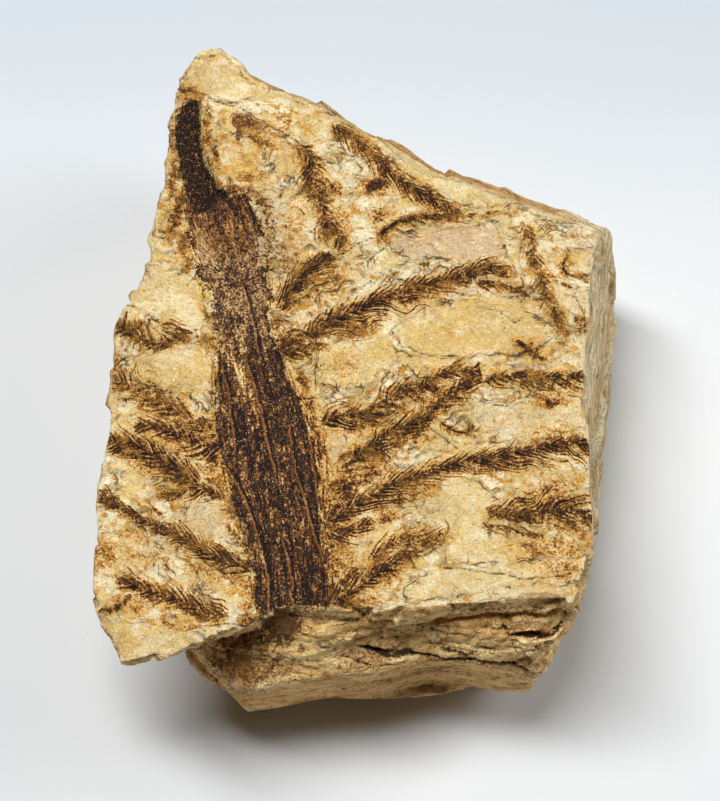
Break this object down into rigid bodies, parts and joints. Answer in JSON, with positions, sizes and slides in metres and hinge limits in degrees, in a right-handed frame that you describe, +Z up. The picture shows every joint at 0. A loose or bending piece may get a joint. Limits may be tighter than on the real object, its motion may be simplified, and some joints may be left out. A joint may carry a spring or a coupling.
{
  "type": "fossil conifer branch plate",
  "caption": "Block of bedded siltstone lying on its back, its upper face split to show a pressed conifer branch: broad stem, side twigs and short needles.",
  "frame": {"origin": "centre of the bounding box in plan, at the flat face the block rests on", "axes": "+Z up out of the fossil face, +Y up the stem towards the block's peak, +X to the right of the stem"},
  "size_m": [0.1412, 0.1898, 0.0632],
  "materials": {
    "siltstone": "matte"
  },
  "bodies": {
    "root": {"fossil_slab": "siltstone"}
  },
  "joints": []
}
